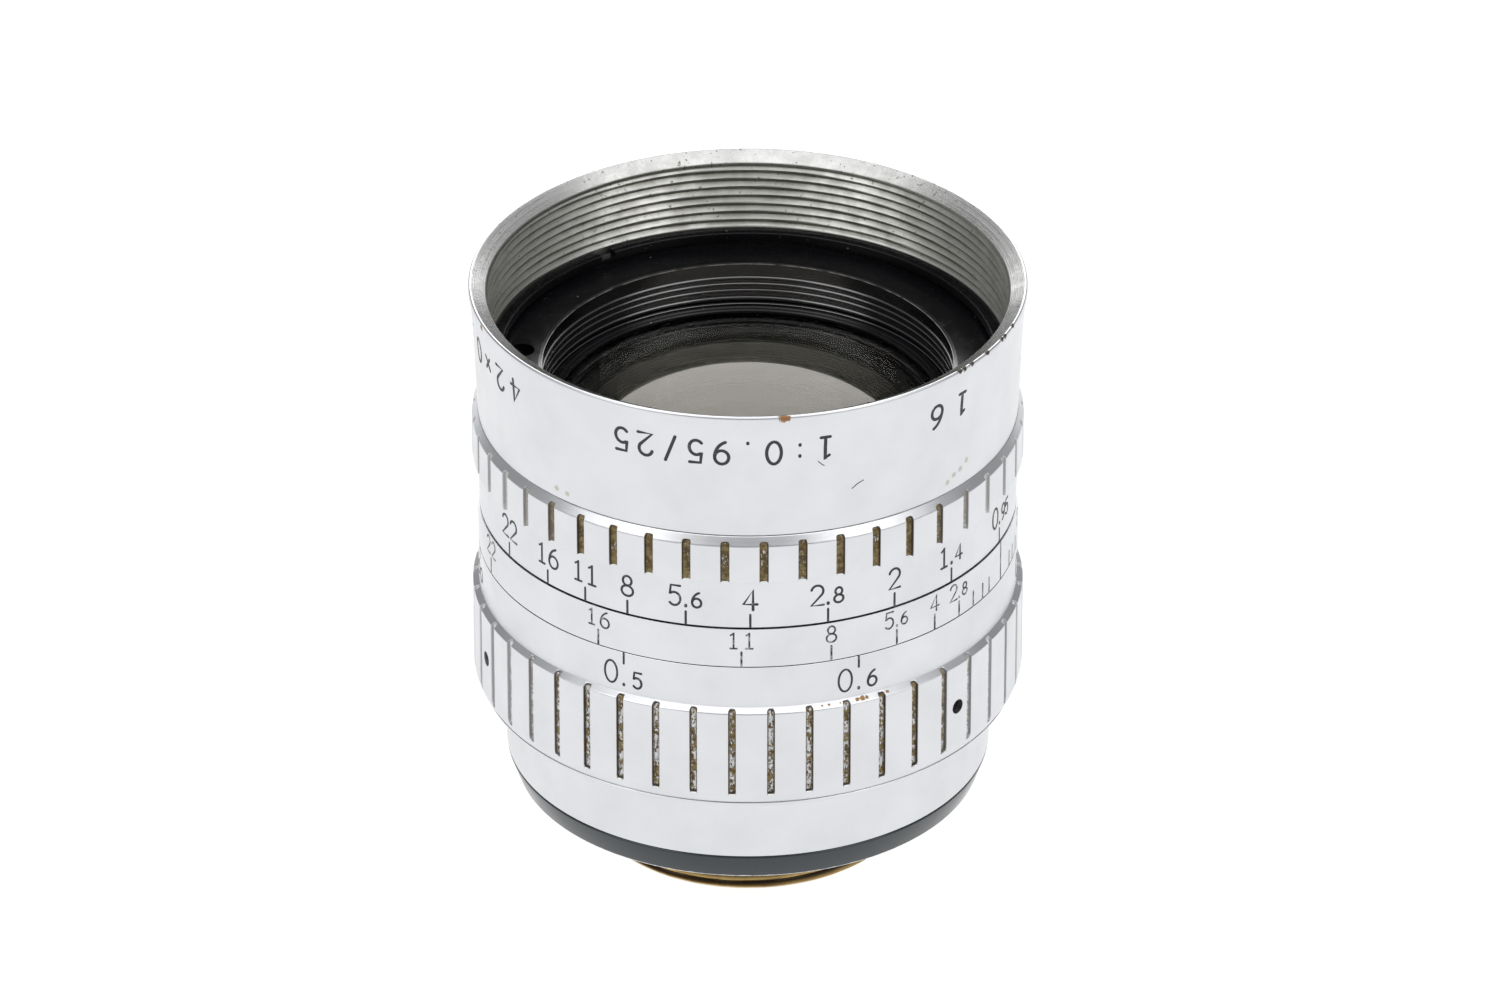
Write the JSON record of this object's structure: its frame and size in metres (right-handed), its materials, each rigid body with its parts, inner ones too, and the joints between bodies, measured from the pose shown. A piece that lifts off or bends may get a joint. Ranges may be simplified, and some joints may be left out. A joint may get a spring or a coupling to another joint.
{
  "type": "prime camera lens",
  "caption": "Fixed focal length cine lens in satin aluminium, with knurled focus and aperture rings, depth scale, flared filter rim, working iris and brass screw mount.",
  "frame": {"origin": "on the optical axis, at the end of the mount thread that the lens stands on", "axes": "+Z along the optical axis towards the subject; -Y is the side that faces the viewer"},
  "size_m": [0.0444, 0.0444, 0.0491],
  "materials": {
    "satin_aluminium": "satin, worn bright on its edges",
    "brass": "aged, turned",
    "black_steel": "blackened",
    "steel": "plain",
    "black_enamel": "gloss black enamel",
    "black_anodised": "black anodised",
    "glass": "coated optical glass"
  },
  "bodies": {
    "mount": {"c_mount_thread": "brass", "mount_flange": "black_enamel", "rear_barrel": "satin_aluminium", "mount_screw_1": "steel", "mount_screw_2": "steel", "mount_screw_3": "steel", "guide_key": "steel"},
    "head": {"depth_scale_ring": "satin_aluminium", "focus_thrust_ring": "brass", "front_barrel": "satin_aluminium", "front_cell": "black_anodised", "front_element_retainer": "black_anodised", "front_group_retainer": "black_anodised", "front_lock_ring": "black_anodised", "head_barrel": "black_anodised", "iris_base": "black_anodised", "lens_1_front_element": "glass", "lens_2": "glass", "lens_3": "glass", "lens_4": "glass", "lens_5": "glass", "lens_6": "glass", "lens_7": "glass", "lens_8_rear_element": "glass", "rear_cell": "black_anodised", "rear_group_retainer": "black_anodised", "rear_retaining_ring": "black_anodised", "rear_spacer": "black_anodised"},
    "focus": {"focus_ring": "satin_aluminium", "focus_helicoid": "brass", "focus_grub_screw_1": "black_steel", "focus_grub_screw_2": "black_steel", "focus_grub_screw_3": "black_steel"},
    "aperture": {"aperture_ring": "satin_aluminium", "aperture_drive_screw": "steel"},
    "iris_cam": {"iris_cam_ring": "black_steel"},
    "blade_01": {"iris_blade_01": "black_steel"},
    "blade_02": {"iris_blade_02": "black_steel"},
    "blade_03": {"iris_blade_03": "black_steel"},
    "blade_04": {"iris_blade_04": "black_steel"},
    "blade_05": {"iris_blade_05": "black_steel"},
    "blade_06": {"iris_blade_06": "black_steel"},
    "blade_07": {"iris_blade_07": "black_steel"},
    "blade_08": {"iris_blade_08": "black_steel"},
    "blade_09": {"iris_blade_09": "black_steel"},
    "blade_10": {"iris_blade_10": "black_steel"}
  },
  "joints": [
    {"name": "head_travel", "type": "slide", "parent": "mount", "child": "head", "axis": [0, 0, 1], "range_m": [-0.00093, 0.00042]},
    {"name": "focus_turn", "type": "hinge", "parent": "head", "child": "focus", "pos_m": [0, 0, 0.018], "axis": [0, 0, 1], "range_deg": [-209.8, 95.6]},
    {"name": "aperture_turn", "type": "hinge", "parent": "head", "child": "aperture", "pos_m": [0, 0, 0.034], "axis": [0, 0, 1], "range_deg": [0, 129.5]},
    {"name": "iris_cam_turn", "type": "hinge", "parent": "head", "child": "iris_cam", "pos_m": [0, 0, 0.0254], "axis": [0, 0, 1], "range_deg": [-0.1, 30.1]},
    {"name": "blade_01_swing", "type": "hinge", "parent": "head", "child": "blade_01", "pos_m": [0.0156, 0, 0.0236], "axis": [0, 0, 1], "range_deg": [-0.1, 33.1]},
    {"name": "blade_02_swing", "type": "hinge", "parent": "head", "child": "blade_02", "pos_m": [0.01262, 0.00917, 0.02375], "axis": [0, 0, 1], "range_deg": [-0.1, 33.1]},
    {"name": "blade_03_swing", "type": "hinge", "parent": "head", "child": "blade_03", "pos_m": [0.00482, 0.01484, 0.0239], "axis": [0, 0, 1], "range_deg": [-0.1, 33.1]},
    {"name": "blade_04_swing", "type": "hinge", "parent": "head", "child": "blade_04", "pos_m": [-0.00482, 0.01484, 0.02405], "axis": [0, 0, 1], "range_deg": [-0.1, 33.1]},
    {"name": "blade_05_swing", "type": "hinge", "parent": "head", "child": "blade_05", "pos_m": [-0.01262, 0.00917, 0.0242], "axis": [0, 0, 1], "range_deg": [-0.1, 33.1]},
    {"name": "blade_06_swing", "type": "hinge", "parent": "head", "child": "blade_06", "pos_m": [-0.0156, 0, 0.02435], "axis": [0, 0, 1], "range_deg": [-0.1, 33.1]},
    {"name": "blade_07_swing", "type": "hinge", "parent": "head", "child": "blade_07", "pos_m": [-0.01262, -0.00917, 0.0245], "axis": [0, 0, 1], "range_deg": [-0.1, 33.1]},
    {"name": "blade_08_swing", "type": "hinge", "parent": "head", "child": "blade_08", "pos_m": [-0.00482, -0.01484, 0.02465], "axis": [0, 0, 1], "range_deg": [-0.1, 33.1]},
    {"name": "blade_09_swing", "type": "hinge", "parent": "head", "child": "blade_09", "pos_m": [0.00482, -0.01484, 0.0248], "axis": [0, 0, 1], "range_deg": [-0.1, 33.1]},
    {"name": "blade_10_swing", "type": "hinge", "parent": "head", "child": "blade_10", "pos_m": [0.01262, -0.00917, 0.02495], "axis": [0, 0, 1], "range_deg": [-0.1, 33.1]}
  ],
  "couplings": [
    {"joint": "focus_turn", "follows": "head_travel", "rad_per_m": 3927},
    {"joint": "iris_cam_turn", "follows": "aperture_turn", "ratio": 0.23166},
    {"joint": "blade_01_swing", "follows": "aperture_turn", "ratio": 0.25483},
    {"joint": "blade_02_swing", "follows": "aperture_turn", "ratio": 0.25483},
    {"joint": "blade_03_swing", "follows": "aperture_turn", "ratio": 0.25483},
    {"joint": "blade_04_swing", "follows": "aperture_turn", "ratio": 0.25483},
    {"joint": "blade_05_swing", "follows": "aperture_turn", "ratio": 0.25483},
    {"joint": "blade_06_swing", "follows": "aperture_turn", "ratio": 0.25483},
    {"joint": "blade_07_swing", "follows": "aperture_turn", "ratio": 0.25483},
    {"joint": "blade_08_swing", "follows": "aperture_turn", "ratio": 0.25483},
    {"joint": "blade_09_swing", "follows": "aperture_turn", "ratio": 0.25483},
    {"joint": "blade_10_swing", "follows": "aperture_turn", "ratio": 0.25483}
  ]
}
